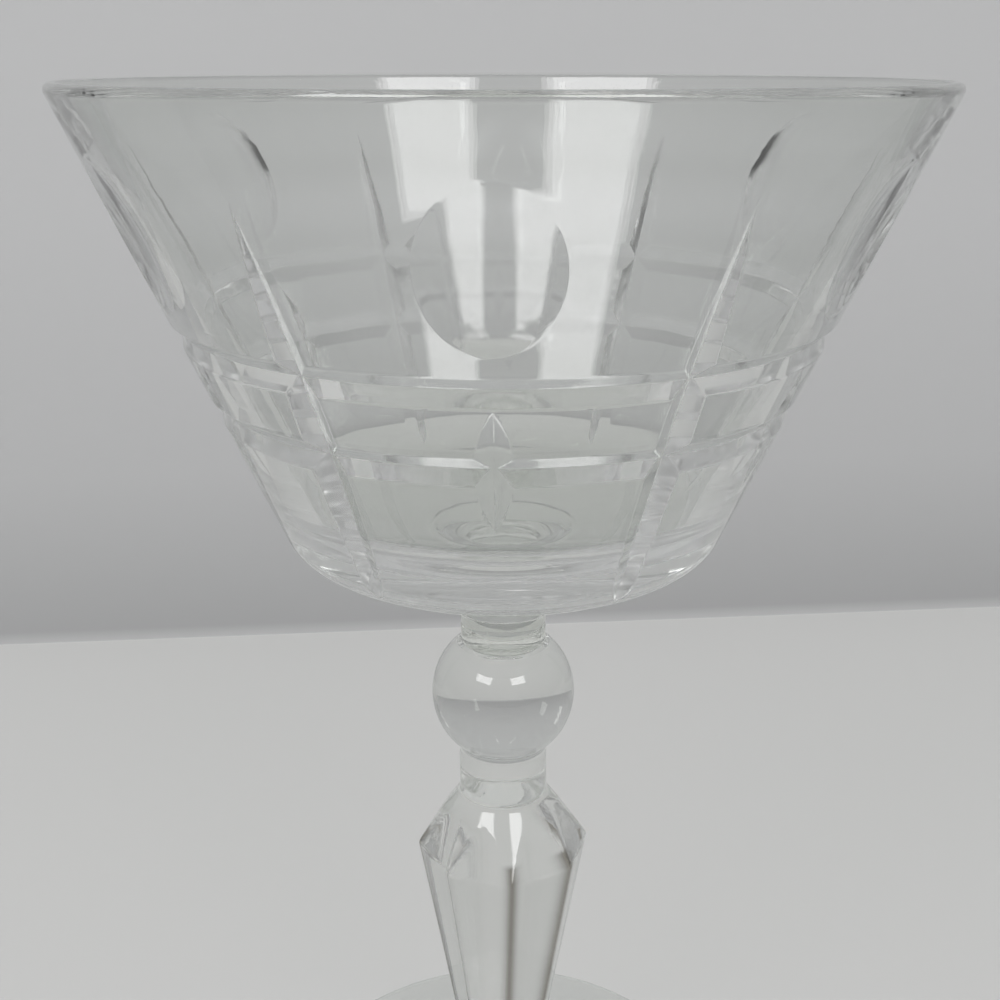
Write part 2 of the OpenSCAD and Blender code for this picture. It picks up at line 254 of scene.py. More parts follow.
def glassMaterial(name, look, finish, cuts=False, arrises=False):
    # glass that bends light; rays from lamps and from the table go straight through, as a pale shadow
    m = bpy.data.materials.new(name)
    m.use_nodes = True
    tree = m.node_tree
    body, out = tree.nodes["Principled BSDF"], tree.nodes["Material Output"]
    body.inputs["Transmission Weight"].default_value = 1.0
    body.inputs["IOR"].default_value = finish["index"]
    tint = addNode(tree, "ShaderNodeGroup", dict(node_tree=depthTint), dict(
        Cloud=look["cloud"], Clear=(*finish["clear"], 1), Deep=(*look["deep"], 1)))
    depth = addNode(tree, "ShaderNodeAttribute", dict(attribute_name="glassDepth"))
    tree.links.new(depth.outputs["Fac"], tint.inputs["Depth"])
    # towards grazing angles the colour darkens to the edge colour: partly the longer path through the glass, partly
    # painted outline shade
    edge = addNode(tree, "ShaderNodeLayerWeight", None, dict(Blend=finish["edgeBlend"]))
    along = addNode(tree, "ShaderNodeMix", dict(data_type="RGBA"))
    along.inputs[7].default_value = (*finish["edge"], 1)
    tree.links.new(edge.outputs["Facing"], along.inputs[0])
    tree.links.new(tint.outputs["Colour"], along.inputs[6])
    colour = along.outputs[2]
    # painted shade: the colour darkens along the stem's arrises, standing in for the dark bands the glass refracts
    # there
    if arrises:
        paintedShade = addNode(tree, "ShaderNodeMix", dict(data_type="RGBA"))
        paintedShade.inputs[7].default_value = (*finish["arris"], 1)
        line = addNode(tree, "ShaderNodeAttribute", dict(attribute_name="arrisShare"))
        tree.links.new(line.outputs["Fac"], paintedShade.inputs[0])
        tree.links.new(colour, paintedShade.inputs[6])
        colour = paintedShade.outputs[2]
    tree.links.new(colour, body.inputs["Base Color"])
    marks = addNode(tree, "ShaderNodeGroup", dict(node_tree=handMarks), dict(
        Polish=look["polish"], Smudge=look["smudge"]))
    ripple = addNode(tree, "ShaderNodeGroup", dict(node_tree=meltRipple), dict(
        Broad=look["broad"], Rings=look["rings"], Fine=look["fine"]))
    rough = marks.outputs["Roughness"]
    if cuts:
        share = addNode(tree, "ShaderNodeAttribute", dict(attribute_name="cutShare")).outputs["Fac"]
        rough = mathNode(tree, "MULTIPLY_ADD", share, finish["cutRough"], rough)
        tree.links.new(mathNode(tree, "MULTIPLY_ADD", share, finish["cutGrain"], look["fine"]), ripple.inputs["Fine"])
    tree.links.new(rough, body.inputs["Roughness"])
    bump = addNode(tree, "ShaderNodeBump", None, dict(Strength=1.0, Distance=look["bump"]))
    tree.links.new(ripple.outputs["Height"], bump.inputs["Height"])
    tree.links.new(bump.outputs["Normal"], body.inputs["Normal"])
    path = addNode(tree, "ShaderNodeLightPath")
    clear = addNode(tree, "ShaderNodeBsdfTransparent", None, dict(Color=(*finish["shadow"], 1)))
    shader = body.outputs[0]
    for ray in ("Is Shadow Ray", "Is Diffuse Ray"):
        mix = addNode(tree, "ShaderNodeMixShader")
        tree.links.new(path.outputs[ray], mix.inputs[0])
        tree.links.new(shader, mix.inputs[1])
        tree.links.new(clear.outputs[0], mix.inputs[2])
        shader = mix.outputs[0]
    tree.links.new(shader, out.inputs["Surface"])
    return m


def sealMaterial(name):
    # the face where two pieces were melted together, which lets everything through unbent
    m = bpy.data.materials.new(name)
    m.use_nodes = True
    tree = m.node_tree
    tree.nodes.remove(tree.nodes["Principled BSDF"])
    clear = addNode(tree, "ShaderNodeBsdfTransparent")
    tree.links.new(clear.outputs[0], tree.nodes["Material Output"].inputs["Surface"])
    return m


blownGlass = glassMaterial("blownGlass", glassFinish["blown"], glassFinish, cuts=True)
pressedGlass = glassMaterial("pressedGlass", glassFinish["pressed"], glassFinish)
facetedGlass = glassMaterial("facetedGlass", glassFinish["pressed"], glassFinish, arrises=True)
sealGlass = glassMaterial("sealGlass", glassFinish["seal"], glassFinish)
meltedSeal = sealMaterial("meltedSeal")
print("glass materials made")


# Bowl: the blank's outline, then the cuts taken off along the normal of its wall; sizes in millimetres

bowlSizes = dict(
    height=142.0, rimRadius=47.0, lipRadius=0.75, swell=0.02,
    wallLean=23.6, wellLean=26.0, depth=58.0,
    cornerRadius=6.0, domeRadius=50.0, baseThick=9.0,
    wellCorner=5.0, dishRadius=70.0,
    dropRadius=5.2, dropLength=5.25, dropCove=5.0, bevel=0.35,
    creaseDepth=0.12, creaseWidth=0.5, thin=1.4, deep=8.0, lipDeep=4.5,
)

cutSizes = dict(
    panels=6, mitreAngle=65.0, soften=0.06,
    fluteAt=34.0, fluteWheel=365.0, fluteCut=1.0,
    ringsAt=(25.6, 34.0), ringCut=0.8,
    crossAt=34.0, crossWheel=27.0, crossCut=0.95,
    puntyAt=14.4, puntyWheel=34.0, puntyCut=1.06,
    valleySoft=0.03, valleyStep=0.045, edgeRound=0.13, leastFlute=0.7, leastMiddle=1.2, lowest=49.4, fullCut=0.12,
)


def bowlOutline(b):
    # the lip circle, the walls that touch it, and the arcs that join them to the dome and the dish
    lean, well = math.radians(b["wallLean"]), math.radians(b["wellLean"])
    out = np.array([math.cos(lean), -math.sin(lean)])
    down = np.array([-math.sin(lean), -math.cos(lean)])
    wellOut = np.array([math.cos(well), -math.sin(well)])
    wellDown = np.array([-math.sin(well), -math.cos(well)])
    lip = np.array([b["rimRadius"] - b["lipRadius"] - b["swell"], b["height"] - b["lipRadius"] - b["swell"]])
    low = b["height"] - b["depth"]
    dome = np.array([0.0, low + b["domeRadius"]])
    dish = np.array([0.0, low + b["baseThick"] + b["dishRadius"]])

    def along(p, u, c, d):
        w = p - c
        k = w @ u
        return p + (math.sqrt(k * k - w @ w + d * d) - k) * u

    corner = along(lip + (b["lipRadius"] - b["cornerRadius"]) * out, down,
                   dome, b["domeRadius"] - b["cornerRadius"])
    wellCorner = along(lip - (b["lipRadius"] + b["wellCorner"]) * wellOut, wellDown,
                       dish, b["dishRadius"] - b["wellCorner"])
    reach = b["dropRadius"] + b["dropCove"]
    cove = np.array([reach, dome[1] - math.sqrt((b["domeRadius"] + b["dropCove"]) ** 2 - reach ** 2)])
    return dict(out=out, down=down, wellOut=wellOut, lip=lip, low=low, dome=dome, dish=dish,
                corner=corner, wellCorner=wellCorner, cove=cove, seal=low - b["dropLength"])


def creased(rows, at, depth, width):
    # the groove a tool leaves: each row sinks along its normal by a bell curve of its distance from the crease
    away = np.hypot(rows[:, 0] - at[0], rows[:, 1] - at[1]) * np.sign(rows[:, 0] - at[0])
    sink = depth * np.exp(-(away / width) ** 2)
    tilt = -2 * away / width ** 2 * sink
    n, along = rows[:, 2:], np.stack([-rows[:, 3], rows[:, 2]], 1)
    tilted = n + tilt[:, None] * along
    return np.hstack([rows[:, :2] - sink[:, None] * n, tilted / np.linalg.norm(tilted, axis=1)[:, None]])


def wheelDepth(point, normal, side, hub, wheel, slope):
    # how far a mitre wheel cuts in along the normal: where the distance to the wheel's plane
    # equals the distance in from its edge times the slope of its flank
    depth = np.zeros_like(side)
    for step in range(4):
        x = point[0] * np.cos(side) - depth * normal[0] * np.cos(side)
        y = point[0] * np.sin(side) - depth * normal[0] * np.sin(side)
        z = point[1] - depth * normal[1]
        gap = wheel - np.hypot(x - hub[0], z - hub[1])
        depth = depth + gap - np.hypot(y, cutSizes["valleySoft"]) / slope
    return depth


def ballDepth(point, normal, side, hub, wheel):
    # how far a ball-edged wheel cuts in along the normal: the far crossing of a line with a sphere
    x, y = point[0] * np.cos(side) - hub[0], point[0] * np.sin(side)
    z = point[1] - hub[1]
    b = x * normal[0] * np.cos(side) + y * normal[0] * np.sin(side) + z * normal[1]
    c = x * x + y * y + z * z - wheel * wheel
    return np.where(b * b > c, b + np.sqrt(np.maximum(b * b - c, 0.0)), -9.0)


def cutDepth(rows, side, outline, cuts):
    # the deepest of all the cuts at each point, with softened edges; side is the turn from a flute
    slope = math.tan(math.radians(cuts["mitreAngle"]))
    half = math.pi / cuts["panels"]
    out, down, lip = outline["out"], outline["down"], outline["lip"]

    def wallAt(depth):
        start = lip + bowlSizes["lipRadius"] * out
        return start + down * (start[1] - (bowlSizes["height"] - depth)) / -down[1]

    point = rows[:, 0][:, None], rows[:, 1][:, None]
    normal = rows[:, 2][:, None], rows[:, 3][:, None]
    flute = wheelDepth(point, normal, side, wallAt(cuts["fluteAt"]) + (cuts["fluteWheel"] - cuts["fluteCut"]) * out,
                       cuts["fluteWheel"], slope)
    across = side - half
    cross = wheelDepth(point, normal, across, wallAt(cuts["crossAt"]) + (cuts["crossWheel"] - cuts["crossCut"]) * out,
                       cuts["crossWheel"], slope)
    punty = ballDepth(point, normal, across, wallAt(cuts["puntyAt"]) + (cuts["puntyWheel"] - cuts["puntyCut"]) * out,
                      cuts["puntyWheel"])
    total = softMax(flute, cross, cuts["soften"])
    for at in cuts["ringsAt"]:
        away = np.hypot(point[0] - wallAt(at)[0], point[1] - wallAt(at)[1])
        ring = cuts["ringCut"] - np.hypot(away, cuts["valleySoft"]) / slope + 0 * side
        total = softMax(total, ring, cuts["soften"])
    total = softMax(total, punty, cuts["soften"])
    return softMax(total, np.zeros_like(total), cuts["soften"])


def wallDepths(cuts, top, bottom):
    # depths below the lip of the wall's rows, crowded at the edges and valleys of the rings
    lean = math.cos(math.radians(bowlSizes["wallLean"]))
    wide = cuts["ringCut"] * math.tan(math.radians(cuts["mitreAngle"]))
    near = np.array([-1.12, -1.04, -1.0, -0.96, -0.88, -0.72, -0.56, -0.4, -0.24, -0.1, -0.035])
    ring = np.concatenate([near, [0.0], -near[::-1]]) * wide * lean
    upper, lower = (at + ring for at in cuts["ringsAt"])
    return np.concatenate([
        np.linspace(top, 5.9, 8), np.linspace(6.1, 8.1, 13), np.linspace(8.5, 20.2, 20),
        np.linspace(20.6, 22.6, 13), np.linspace(22.8, upper[0] - 0.2, 2), upper,
        np.linspace(upper[-1] + 0.3, lower[0] - 0.3, 10), lower,
        np.linspace(lower[-1] + 0.3, 45.5, 18), np.linspace(46.0, bottom, 6),
    ])


def columnSides(depth, radius, cuts):
    # turns of the columns over half a panel: crowded in the flute, even, then crowded in the middle
    lean = math.cos(math.radians(bowlSizes["wallLean"]))
    slope = math.tan(math.radians(cuts["mitreAngle"]))
    half = math.pi / cuts["panels"]
    curve = radius / lean

    def mitreHalf(at, wheel, cut):
        c = np.maximum(cut - ((depth - at) / lean) ** 2 / (2 * wheel), 0.0)
        return curve / slope * (np.sqrt(1 + 2 * c * slope ** 2 / curve) - 1)

    fluteHalf = mitreHalf(cuts["fluteAt"], cuts["fluteWheel"], cuts["fluteCut"])
    c = np.maximum(cuts["puntyCut"] - ((depth - cuts["puntyAt"]) / lean) ** 2 / (2 * cuts["puntyWheel"]), 0.0)
    puntyHalf = np.sqrt(2 * c / (1 / cuts["puntyWheel"] + 1 / curve))
    crossHalf = mitreHalf(cuts["crossAt"], cuts["crossWheel"], cuts["crossCut"])

    def crowded(halfWidth, inside):
        # from the middle of a cut to just past its edge
        halfWidth, edge = halfWidth[:, None], cuts["edgeRound"]
        zero = np.zeros_like(halfWidth)
        return np.concatenate([zero, zero + cuts["valleyStep"], np.array(inside) * (halfWidth - edge),
                               halfWidth, halfWidth + edge], 1) / radius[:, None]

    flute = crowded(np.maximum(fluteHalf, cuts["leastFlute"]), (0.12, 0.26, 0.4, 0.54, 0.68, 0.84, 1.0))
    middle = crowded(np.maximum(np.maximum(puntyHalf, crossHalf), cuts["leastMiddle"]),
                     (0.1, 0.2, 0.3, 0.4, 0.52, 0.64, 0.76, 0.88, 1.0))
    middle = half - middle[:, ::-1]
    t = np.linspace(0.0, 1.0, 13)[None, 1:-1]
    plain = flute[:, -1:] + t * (middle[:, :1] - flute[:, -1:])
    return np.concatenate([flute, plain, middle], 1)


def makeBowl(b, cuts):
    o = bowlOutline(b)
    lipAngles = angleOf(o["out"]), 90.0, 180.0 + angleOf(o["wellOut"])
    cornerLow = angleOf(o["corner"] - o["dome"])
    coveUp = o["dome"] + b["domeRadius"] * (o["cove"] - o["dome"]) / np.linalg.norm(o["cove"] - o["dome"])
    cap = lineRows((1.0, o["seal"]), (b["dropRadius"] - b["bevel"], o["seal"]), 4)
    bevel = lineRows((b["dropRadius"] - b["bevel"], o["seal"]), (b["dropRadius"], o["seal"] + b["bevel"]), 3)
    drop = lineRows((b["dropRadius"], o["seal"] + b["bevel"]), (b["dropRadius"], o["cove"][1]), 4)
    cove = arcRows(o["cove"], b["dropCove"], 180.0, angleOf(coveUp - o["cove"]), 19, True)
    domeLow = angleOf(coveUp - o["dome"])
    dome = joinRows([arcRows(o["dome"], b["domeRadius"], domeLow, domeLow + 2.6, 11),
                     arcRows(o["dome"], b["domeRadius"], domeLow + 2.6, cornerLow, 7)])
    cove, dome = (creased(rows, coveUp, b["creaseDepth"], b["creaseWidth"]) for rows in (cove, dome))
    corner = arcRows(o["corner"], b["cornerRadius"], cornerLow, angleOf(o["out"]), 15)
    wallTop, wallLow = o["lip"] + b["lipRadius"] * o["out"], o["corner"] + b["cornerRadius"] * o["out"]
    depths = wallDepths(cuts, b["height"] - wallTop[1], b["height"] - wallLow[1])[::-1]
    z = b["height"] - depths
    wall = np.stack([wallLow[0] + (z - wallLow[1]) * math.tan(math.radians(b["wallLean"])), z,
                     np.full_like(z, o["out"][0]), np.full_like(z, o["out"][1])], 1)
    lip = arcRows(o["lip"], b["lipRadius"], lipAngles[0], lipAngles[2], 15)
    wellTop, wellLow = o["lip"] - b["lipRadius"] * o["wellOut"], o["wellCorner"] + b["wellCorner"] * o["wellOut"]
    inside = lineRows(wellTop, wellLow, 6)
    dishAngle = angleOf(o["wellCorner"] - o["dish"])
    wellCorner = arcRows(o["wellCorner"], b["wellCorner"], angleOf(o["wellOut"]), dishAngle, 10, True)
    dish = arcRows(o["dish"], b["dishRadius"], dishAngle, -90.0 + 0.7, 6, True)
    below = joinRows([cap, bevel, drop, cove, dome, corner])
    above = joinRows([lip, inside, wellCorner, dish])
    rows = np.vstack([below, wall[1:], above[1:]])
    first, last = len(below) - len(corner), len(below) + len(wall) - 2

    # columns follow the cuts on the wall and even out over a few rows below and above it
    sides = columnSides(np.clip(b["height"] - rows[:, 1], 1.0, cuts["lowest"]), np.maximum(rows[:, 0], 5.0), cuts)
    even = np.linspace(0.0, math.pi / cuts["panels"], sides.shape[1])[None, :]
    blend = np.zeros(len(rows))
    blend[first:last + 1] = 1.0
    blend[:first] = np.clip(1.0 - (first - np.arange(first)) / 8.0, 0.0, 1.0)
    blend[last + 1:] = np.clip(1.0 - (np.arange(len(rows) - last - 1) + 1) / 12.0, 0.0, 1.0)
    ends = np.concatenate([np.full(first, first), np.arange(first, last + 1), np.full(len(rows) - last - 1, last)])
    sides = even + blend[:, None] * (sides[ends] - even)

    eps = 0.01
    depth = np.zeros_like(sides)
    slopeUp, slopeSide = np.zeros_like(sides), np.zeros_like(sides)
    part = slice(first, last + 1)
    wallRows, wallSides = rows[part], sides[part]
    up = np.stack([-wallRows[:, 3], wallRows[:, 2]], 1)
    higher, lower = wallRows.copy(), wallRows.copy()
    higher[:, :2] += eps * up
    lower[:, :2] -= eps * up
    turnEps = eps / wallRows[:, :1]
    depth[part] = cutDepth(wallRows, wallSides, o, cuts)
    slopeUp[part] = (cutDepth(higher, wallSides, o, cuts) - cutDepth(lower, wallSides, o, cuts)) / (2 * eps)
    slopeSide[part] = (cutDepth(wallRows, wallSides + turnEps, o, cuts)
                       - cutDepth(wallRows, wallSides - turnEps, o, cuts)) / (2 * eps)

    # half a panel, its mirror image, and the pair repeated round the bowl
    def roundBowl(values, mirrored=1.0):
        panel = np.concatenate([values[:, :-1], mirrored * values[:, :0:-1]], 1)
        return np.tile(panel, (1, cuts["panels"]))

    step = 2 * math.pi / cuts["panels"]
    panelTurns = np.concatenate([sides[:, :-1], step - sides[:, :0:-1]], 1)
    turns = np.concatenate([panelTurns + k * step for k in range(cuts["panels"])], 1)
    depth, slopeUp, slopeSide = roundBowl(depth), roundBowl(slopeUp), roundBowl(slopeSide, -1.0)
    c, s = np.cos(turns), np.sin(turns)
    r = rows[:, :1] - depth * rows[:, 2:3]
    z = rows[:, 1:2] - depth * rows[:, 3:4]
    points = np.stack([r * c, r * s, z], -1)
    nr = rows[:, 2:3] - slopeUp * rows[:, 3:4]
    nz = rows[:, 3:4] + slopeUp * rows[:, 2:3]
    normals = np.stack([nr * c - slopeSide * s, nr * s + slopeSide * c, nz], -1)
    outer, inner = rows[:last - 4, :2], rows[last + 12:, :2]
    away = np.linalg.norm(outer[:, None, :] - inner[None, :, :], axis=2)
    thick = np.concatenate([away.min(1), np.full(len(rows) - len(outer) - len(inner), b["lipDeep"]), away.min(0)])
    glassDepth = np.clip((thick[:, None] - b["thin"]) / b["deep"], 0.0, 1.0) + 0 * depth
    shares = dict(glassDepth=glassDepth, cutShare=np.clip(depth / cuts["fullCut"], 0.0, 1.0))
    piece = ringMesh("coupeBowl", points, normals, (0, 0, o["seal"]), (0, 0, rows[-1, 1] - 0.003),
                     [(-1, len(cap) - 1)], [blownGlass, meltedSeal], shares)
    print("bowl made, triangles:", sum(len(p.vertices) - 2 for p in piece.data.polygons))
    return piece


# Stem with the wafer that joins it to the bowl

stemSizes = dict(
    waferHeight=2.5, ballRadius=8.85, ballDrop=6.8, waistRadius=5.5, waistCove=2.0, waistDrop=13.8,
    shoulderLean=36.0, shoulderCutLean=30.0, shoulderRadius=11.0, ankleRadius=5.0, facets=8, turn=7.5,
    # the eight arris values give the strength and the width of the painted shade line on each arris; arrisTop and
    # arrisFade end it on the shoulder
    arrisSoft=0.07, soften=0.3, arrisShadeStrength=(0.1, 0.1, 0.1, 0.1, 1.0, 0.15, 1.0, 1.0),
    arrisLine=(0.7, 0.7, 0.7, 0.7, 1.0, 0.7, 0.8, 1.3), arrisTop=2.2, arrisFade=0.5, depthAxis=0.25, depthRise=0.04,
    beadRadius=1.7, beadLedge=0.2, beadFlat=0.2,
)


def makeWafer(b, top):
    # a short round collar with a bevel at each end
    seal = b["height"] - b["depth"] - b["dropLength"]
    r, v = b["dropRadius"], b["bevel"]
    low = lineRows((1.0, top), (r - v, top), 3)
    lowBevel = lineRows((r - v, top), (r, top + v), 3)
    wall = lineRows((r, top + v), (r, seal - v), 4)
    highBevel = lineRows((r, seal - v), (r - v, seal), 3)
    high = lineRows((r - v, seal), (1.0, seal), 3)
    rows = joinRows([low, lowBevel, wall, highBevel, high])
    return roundPiece("bowlWafer", rows, 144, [(-1, 2), (len(rows) - 3, len(rows) - 1)], [sealGlass, meltedSeal],
                      np.full(len(rows), 0.9))


def makeStem(t, top, bottom, sealRadius):
    # ball, waist and bead are turned; the baluster's radius is the smallest of its cones and its flats
    lean = math.radians(t["shoulderLean"])
    ball = np.array([0.0, top - t["ballDrop"]])
    reach = t["waistRadius"] + t["waistCove"]
    ballCove = np.array([reach, ball[1] - math.sqrt((t["ballRadius"] + t["waistCove"]) ** 2 - reach ** 2)])
    waist = ball[1] - t["waistDrop"]
    waistCove = np.array([reach, waist + t["waistCove"] * math.tan(lean / 2)])
    coveLow = waistCove - t["waistCove"] * np.array([math.cos(lean), math.sin(lean)])
    shoulder = waist - (t["shoulderRadius"] - t["waistRadius"]) / math.tan(lean)
    bead = np.array([t["ankleRadius"] + t["beadLedge"], bottom + t["beadRadius"] - t["beadFlat"]])
    ankle = bead[1] + t["beadRadius"] - t["beadFlat"]
    clip = math.degrees(math.asin((t["beadRadius"] - t["beadFlat"]) / t["beadRadius"]))
    flatReach = bead[0] + t["beadRadius"] * math.cos(math.radians(clip))
    ballTop = math.degrees(math.asin(t["ballDrop"] / t["ballRadius"]))
    landRadius = t["ballRadius"] * math.cos(math.radians(ballTop))

    low = joinRows([
        lineRows((1.0, bottom), (flatReach, bottom), 4),
        arcRows(bead, t["beadRadius"], -clip, clip, 13),
        lineRows((flatReach, ankle), (t["ankleRadius"], ankle), 4),
    ])
    high = joinRows([
        arcRows(waistCove, t["waistCove"], 180.0 + t["shoulderLean"], 180.0, 9, True),
        lineRows((t["waistRadius"], waistCove[1]), (t["waistRadius"], ballCove[1]), 4),
        arcRows(ballCove, t["waistCove"], 180.0, angleOf(ball - ballCove), 10, True),
        arcRows(ball, t["ballRadius"], angleOf(ballCove - ball), ballTop, 44),
        lineRows((landRadius, top), (sealRadius, top), 3),
        lineRows((sealRadius, top), (1.0, top), 3),
    ])[1:]

    step = 2 * math.pi / t["facets"]
    rise = (t["shoulderRadius"] - t["ankleRadius"]) / (shoulder - ankle)

    def balusterRadius(z, side):
        cone = t["ankleRadius"] + (z - ankle) * rise
        flat = (cone + t["arrisSoft"]) * math.cos(step / 2) / np.cos(side)
        slant = t["shoulderRadius"] - (z - shoulder) * math.tan(lean)
        reach = (t["shoulderRadius"] + t["arrisSoft"]) * math.cos(step / 2)
        shoulderFlat = (reach - (z - shoulder) * math.tan(math.radians(t["shoulderCutLean"]))) / np.cos(side)
        return softMin(softMin(cone, flat, t["soften"]), softMin(slant, shoulderFlat, t["soften"] * 0.7), t["soften"])

    z = np.concatenate([np.linspace(ankle + 0.02, shoulder - 3.0, 40), np.linspace(shoulder - 2.85, shoulder + 2.4, 44),
                        np.linspace(shoulder + 2.6, coveLow[1], 24)])[:, None]
    even = np.linspace(-0.5, 0.5, 27)
    side = (step * (0.5 * even + 0.25 * np.sin(math.pi * even)))[None, :-1]
    eps = 0.005
    r = balusterRadius(z, side)
    slopeUp = (balusterRadius(z + eps, side) - balusterRadius(z - eps, side)) / (2 * eps)
    slopeSide = (balusterRadius(z, side + eps) - balusterRadius(z, side - eps)) / (2 * eps) / r

    turns = np.concatenate([math.radians(t["turn"]) + (k + 0.5) * step + side[0] for k in range(t["facets"])])
    c, s = np.cos(turns), np.sin(turns)
    wide = np.ones((1, len(turns)))

    def turned(rows):
        rr, zz, nr, nz = (rows[:, i][:, None] for i in range(4))
        return np.stack([rr * c, rr * s, zz * wide], -1), np.stack([nr * c, nr * s, nz * wide], -1)

    lowPoints, lowNormals = turned(low)
    highPoints, highNormals = turned(high)
    r, slopeUp, slopeSide = (np.tile(v, (1, t["facets"])) for v in (r, slopeUp, slopeSide))
    middlePoints = np.stack([r * c, r * s, z * wide], -1)
    middleNormals = np.stack([c + slopeSide * s, s - slopeSide * c, -slopeUp], -1)
    points = np.concatenate([lowPoints, middlePoints, highPoints])
    normals = np.concatenate([lowNormals, middleNormals, highNormals])
    rowCount = len(points)
    # the painted shade line along each arris, standing in for the dark bands the stem's glass refracts, fades with the
    # distance from it and starts on the shoulder
    paintedShade, lineWidth = (np.array(t[key])[:, None, None] for key in ("arrisShadeStrength", "arrisLine"))
    away = r[:, :side.shape[1]]
    near = paintedShade * np.exp(-((step / 2 + side) * away / lineWidth) ** 2)
    near = near + np.roll(paintedShade, -1, 0) * np.exp(-((step / 2 - side) * away / np.roll(lineWidth, -1, 0)) ** 2)
    near = np.concatenate(list(near), 1) * np.clip((shoulder + t["arrisTop"] - z) / t["arrisFade"], 0.0, 1.0)
    line = np.zeros(points.shape[:2])
    line[len(low):len(low) + len(z)] = near
    glassDepth = np.clip(t["depthAxis"] + t["depthRise"] * np.hypot(points[..., 0], points[..., 1]), 0.0, 1.0)
    shares = dict(glassDepth=glassDepth, arrisShare=line)
    piece = ringMesh("balusterStem", points, normals, (0, 0, bottom), (0, 0, top),
                     [(-1, 3), (rowCount - 3, rowCount - 1)], [facetedGlass, meltedSeal], shares)
    print("stem made, triangles:", sum(len(p.vertices) - 2 for p in piece.data.polygons))
    return piece


# Foot with the wafer that joins it to the stem

footSizes = dict(
    diameter=64.0, edgeRadius=1.35, grind=0.25, rise=6.0, coveRadius=4.5, bossRadius=7.0,
    ringWidth=5.0, hollow=1.4, hollowFlat=12.0, waferRadius=7.4, waferHeight=2.0, waferEdge=1.5, sealReach=6.0,
)


def footOutline(f):
    # the rounded edge, the slope that touches it and the cove that lifts the slope into the boss
    rise = math.radians(f["rise"])
    out = np.array([math.sin(rise), math.cos(rise)])
    edge = np.array([f["diameter"] / 2 - f["edgeRadius"] - 0.02, f["edgeRadius"] - f["grind"]])
    edgeUp = edge + f["edgeRadius"] * out
    lowX = f["bossRadius"] + f["coveRadius"] - f["coveRadius"] * out[0]
    slopeLow = np.array([lowX, edgeUp[1] + (edgeUp[0] - lowX) * math.tan(rise)])
    return dict(edge=edge, edgeUp=edgeUp, slopeLow=slopeLow, cove=slopeLow + f["coveRadius"] * out)


def makeFoot(f):
    o = footOutline(f)
    edge, cove = o["edge"], o["cove"]
    hollowRim = edge[0] - f["ringWidth"]
    ground = math.degrees(math.asin((f["edgeRadius"] - f["grind"]) / f["edgeRadius"]))
    ringReach = edge[0] + f["edgeRadius"] * math.cos(math.radians(ground))
    rows = joinRows([
        lineRows((1.0, f["hollow"]), (f["hollowFlat"], f["hollow"]), 6),
        lineRows((f["hollowFlat"], f["hollow"]), (hollowRim, 0.0), 8),
        lineRows((hollowRim, 0.0), (ringReach, 0.0), 5),
        arcRows(edge, f["edgeRadius"], -ground, 90.0 - f["rise"], 15),
        lineRows(o["edgeUp"], o["slopeLow"], 14),
        arcRows(cove, f["coveRadius"], -90.0 - f["rise"], -180.0, 14, True),
        lineRows((f["bossRadius"], cove[1]), (1.0, cove[1]), 4),
    ])
    foot = roundPiece("roundFoot", rows, 216, [(len(rows) - 4, len(rows) - 1)], [pressedGlass, meltedSeal],
                      0.75 - 0.016 * rows[:, 0])
    top = cove[1] + f["waferHeight"]
    half = f["waferHeight"] / 2
    centre = np.array([f["waferRadius"] - f["waferEdge"], cove[1] + half])
    clip = math.degrees(math.asin(half / f["waferEdge"]))
    reach = centre[0] + f["waferEdge"] * math.cos(math.radians(clip))
    waferRows = joinRows([
        lineRows((1.0, cove[1]), (reach, cove[1]), 4),
        arcRows(centre, f["waferEdge"], -clip, clip, 12),
        lineRows((reach, top), (f["sealReach"], top), 3),
        lineRows((f["sealReach"], top), (1.0, top), 3),
    ])
    wafer = roundPiece("footWafer", waferRows, 144, [(-1, 3), (len(waferRows) - 3, len(waferRows) - 1)],
                       [sealGlass, meltedSeal], np.full(len(waferRows), 0.9))
    print("foot made")
    return foot, wafer


stemTop = bowlSizes["height"] - bowlSizes["depth"] - bowlSizes["dropLength"] - stemSizes["waferHeight"]
stemBottom = footOutline(footSizes)["cove"][1] + footSizes["waferHeight"]
bowl = makeBowl(bowlSizes, cutSizes)
bowlWafer = makeWafer(bowlSizes, stemTop)
stem = makeStem(stemSizes, stemTop, stemBottom, bowlSizes["dropRadius"] - bowlSizes["bevel"])
foot, footWafer = makeFoot(footSizes)
for piece, node in ((bowl, "bowl"), (bowlWafer, "bowl_wafer"), (stem, "stem"),
                    (footWafer, "foot_wafer"), (foot, "foot")):
    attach(piece, "root")
    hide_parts(node)
print("pieces placed")


# Stage: pale table, grey backdrop behind and two windows in front

stageSetup = dict(
    table=(0.508, 0.508, 0.501), tableHalf=1500, tableRough=0.6, backRough=0.8, backTint=(1.0, 1.002, 1.011),
    # heights in millimetres and greys up the backdrop: painted shade just above the table, lighter upwards
    backShadeStops=((0.0, 0.428), (3.2, 0.325), (16.0, 0.348), (45.0, 0.402), (110.0, 0.432)),
    backAway=172.9, backTurn=0.095, backHalf=460, backTall=260, backEven=142,
    horizon=(0.28, 0.282, 0.284), zenith=(0.385, 0.387, 0.389), beyond=(0.46, 0.463, 0.465),
    leftWindow=dict(turn=-37.2, lift=44, away=1800, wide=842, tall=840, power=15.0),
    rightWindow=dict(turn=31.7, lift=44, away=1800, wide=734, tall=840, power=13.2),
    seenThrough=0.38, paneWidths=(0.88, 1.0, 1.1), paneStep=10.0, lampAim=110,
)


def plainMaterial(name, colour, rough):
    m = bpy.data.materials.new(name)
    m.use_nodes = True
    body = m.node_tree.nodes["Principled BSDF"]
    body.inputs["Base Color"].default_value = (*colour, 1)
    body.inputs["Roughness"].default_value = rough
    return m


